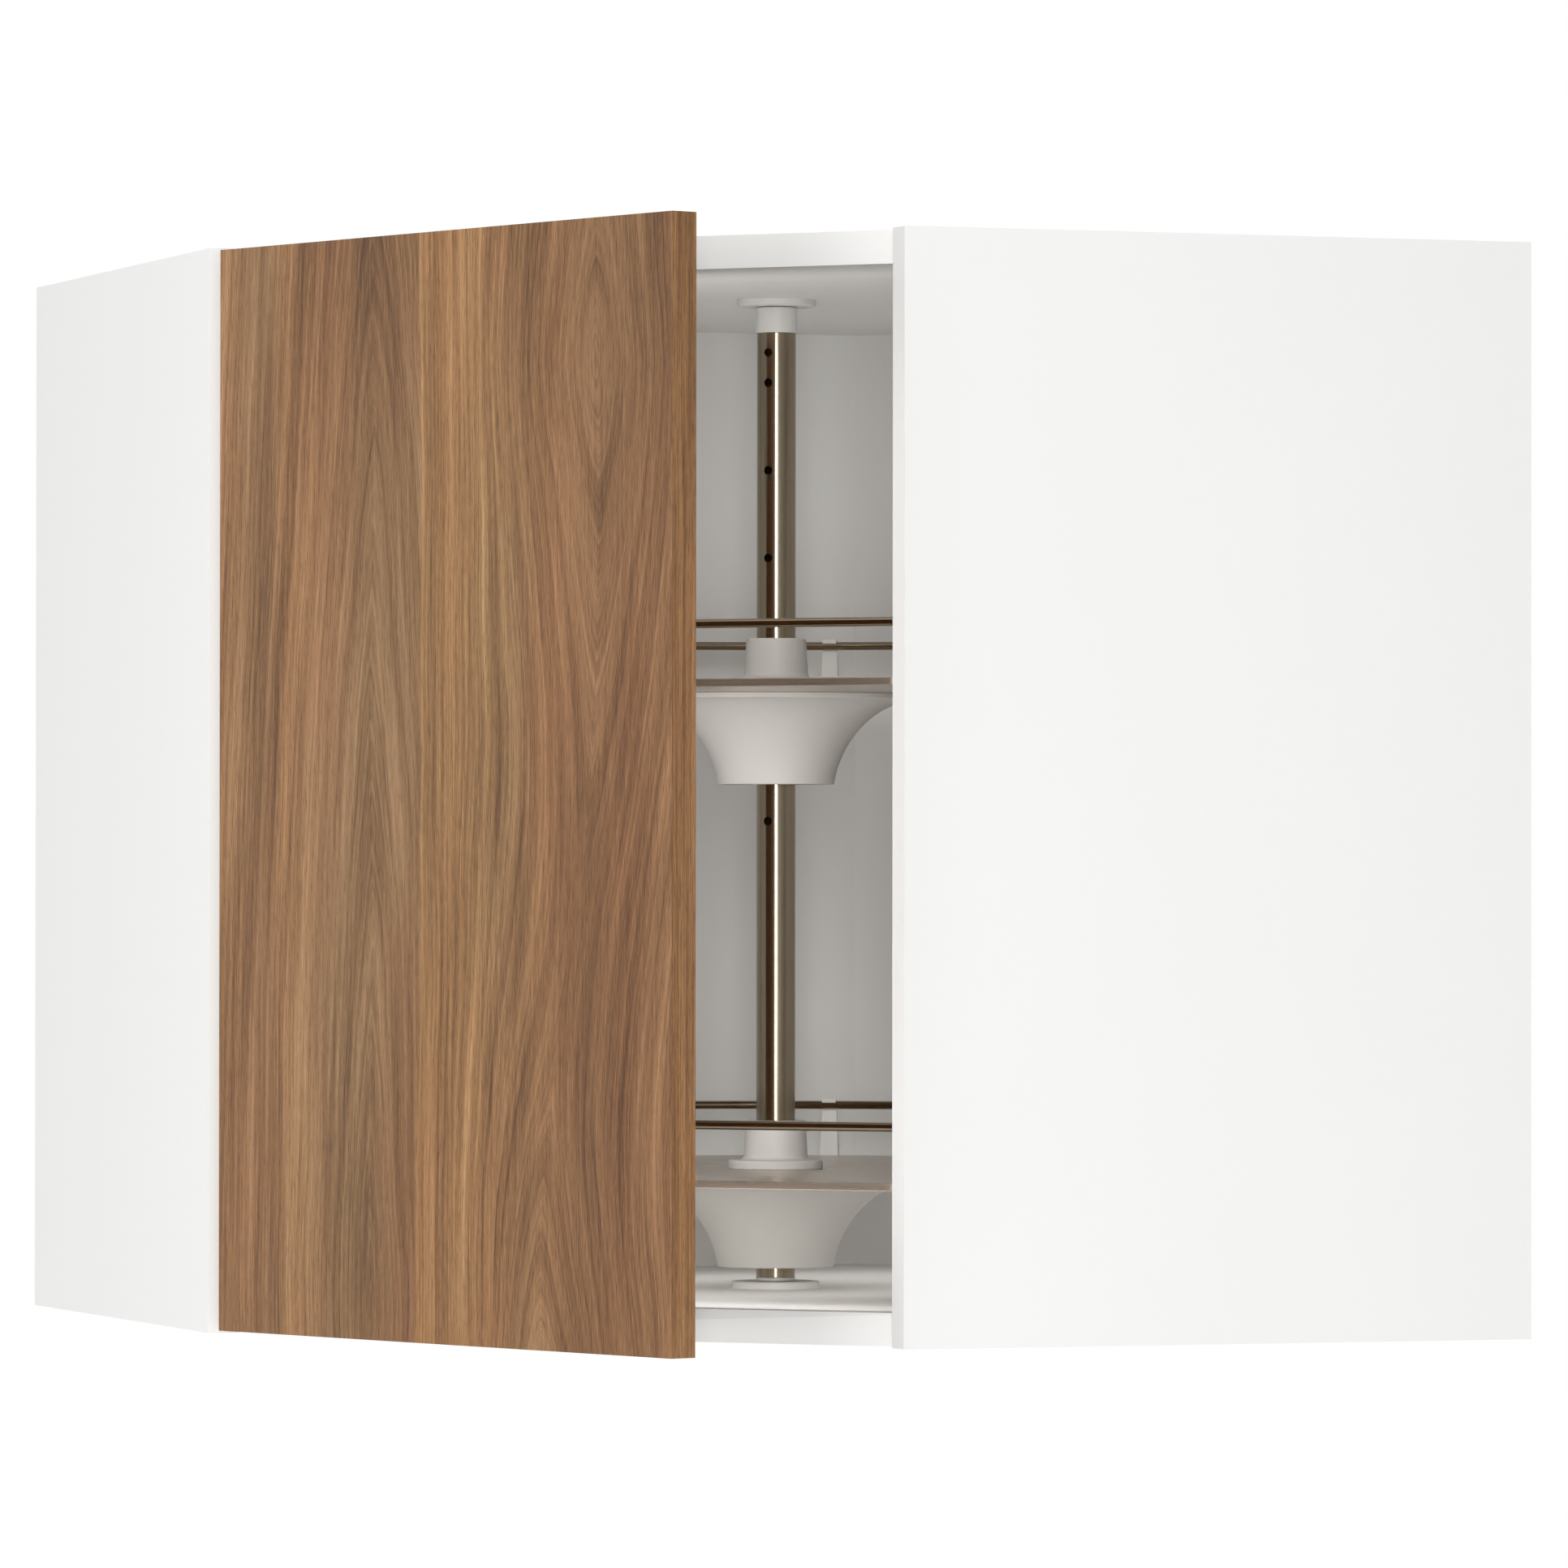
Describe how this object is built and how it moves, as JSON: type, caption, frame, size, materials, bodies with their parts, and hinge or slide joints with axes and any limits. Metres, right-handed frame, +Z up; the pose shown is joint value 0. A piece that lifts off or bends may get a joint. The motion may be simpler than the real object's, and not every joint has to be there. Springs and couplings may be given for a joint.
{
  "type": "corner wall cabinet with carousel",
  "caption": "Diagonal corner wall cabinet with a hinged wood-grain door and a turning carousel of railed, straight-fronted shelves on a centre pole.",
  "frame": {"origin": "on the carousel axis, in the plane of the underside", "axes": "+X towards the right-hand wall, +Y towards the rear wall, +Z up; the door faces halfway between -X and -Y"},
  "size_m": [0.665, 0.7467, 0.6],
  "materials": {
    "white_melamine": "matt white melamine on chipboard",
    "back_board": "matt light grey faced hardboard",
    "beech": "raw beech",
    "walnut_board": "satin walnut-effect board with a lighter wood-grain edge",
    "satin_nickel": "satin nickel",
    "plated_steel": "bright zinc or nickel plate",
    "shelf_metal": "satin, warm grey",
    "hub_plastic": "matt warm light grey",
    "white_plastic": "matt white"
  },
  "bodies": {
    "cabinet": {"left_side_panel": "white_melamine", "right_side_panel": "white_melamine", "top_panel": "white_melamine", "bottom_panel": "white_melamine", "rear_back_panel": "back_board", "right_back_panel": "back_board", "corner_back_panel": "back_board", "wood_dowels": "beech", "cam_locks": "plated_steel", "cam_bolts": "plated_steel", "hanger_housings": "white_plastic", "hanger_hooks": "plated_steel", "hinge_arms": "plated_steel", "hinge_plates": "plated_steel", "hinge_plate_screws": "plated_steel", "arm_screws": "plated_steel", "top_bearing_flange": "white_plastic", "bottom_bearing_flange": "white_plastic", "flange_screws": "plated_steel"},
    "door": {"door_panel": "walnut_board", "hinge_cups": "plated_steel", "hinge_cup_screws": "plated_steel", "hinge_pins": "plated_steel"},
    "carousel": {"pole": "satin_nickel", "pole_top_cap": "white_plastic", "pole_foot_plug": "white_plastic", "upper_shelf": "shelf_metal", "upper_trumpet_hub": "hub_plastic", "upper_collar": "hub_plastic", "upper_rail": "satin_nickel", "upper_rail_posts": "hub_plastic", "lower_shelf": "shelf_metal", "lower_trumpet_hub": "hub_plastic", "lower_collar": "hub_plastic", "lower_rail": "satin_nickel", "lower_rail_posts": "hub_plastic", "shelf_locking_pins": "plated_steel"}
  },
  "joints": [
    {"name": "door_hinge", "type": "hinge", "parent": "cabinet", "child": "door", "pos_m": [-0.33676, -0.06665, 0.3], "axis": [0, 0, -1], "range_deg": [-25, 80]},
    {"name": "carousel_turn", "type": "hinge", "parent": "cabinet", "child": "carousel", "pos_m": [0, 0, 0.3], "axis": [0, 0, 1], "continuous": true}
  ]
}
